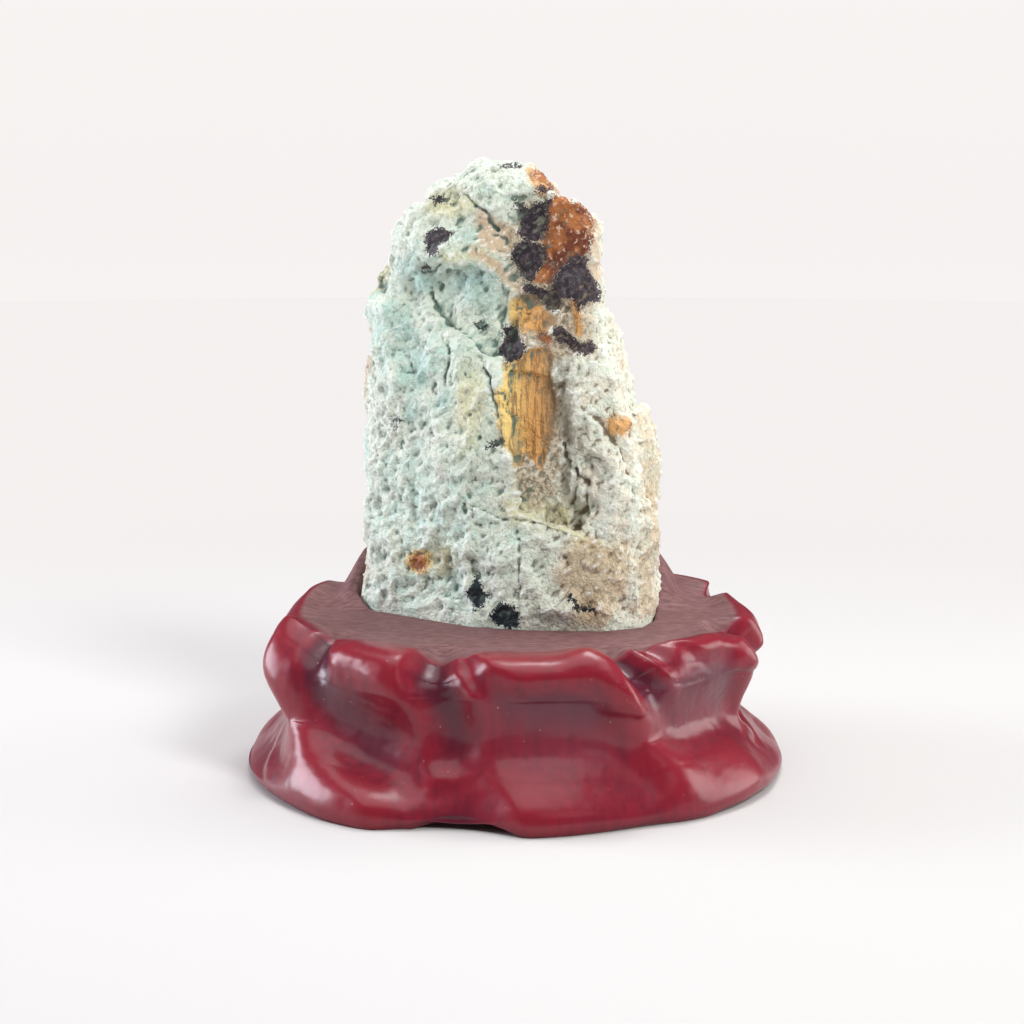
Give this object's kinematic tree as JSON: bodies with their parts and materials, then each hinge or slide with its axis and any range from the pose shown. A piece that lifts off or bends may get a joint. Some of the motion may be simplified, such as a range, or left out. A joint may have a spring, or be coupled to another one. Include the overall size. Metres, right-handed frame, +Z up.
{
  "type": "rough aquamarine on a carved stand",
  "caption": "Upright broken prism of rough aquamarine with ledges and a knobbly top, standing in the socket of a carved wooden display stand.",
  "frame": {"origin": "under the middle of the whole specimen, on the surface that the stand's foot rests on", "axes": "+Z up along the stone, -Y towards the viewer of the stone's front, +X to that viewer's right"},
  "size_m": [0.1346, 0.1348, 0.1517],
  "materials": {
    "rough_beryl": "matte",
    "lacquered_wood": "gloss"
  },
  "bodies": {
    "root": {"aquamarine": "rough_beryl", "stand": "lacquered_wood"}
  },
  "joints": []
}
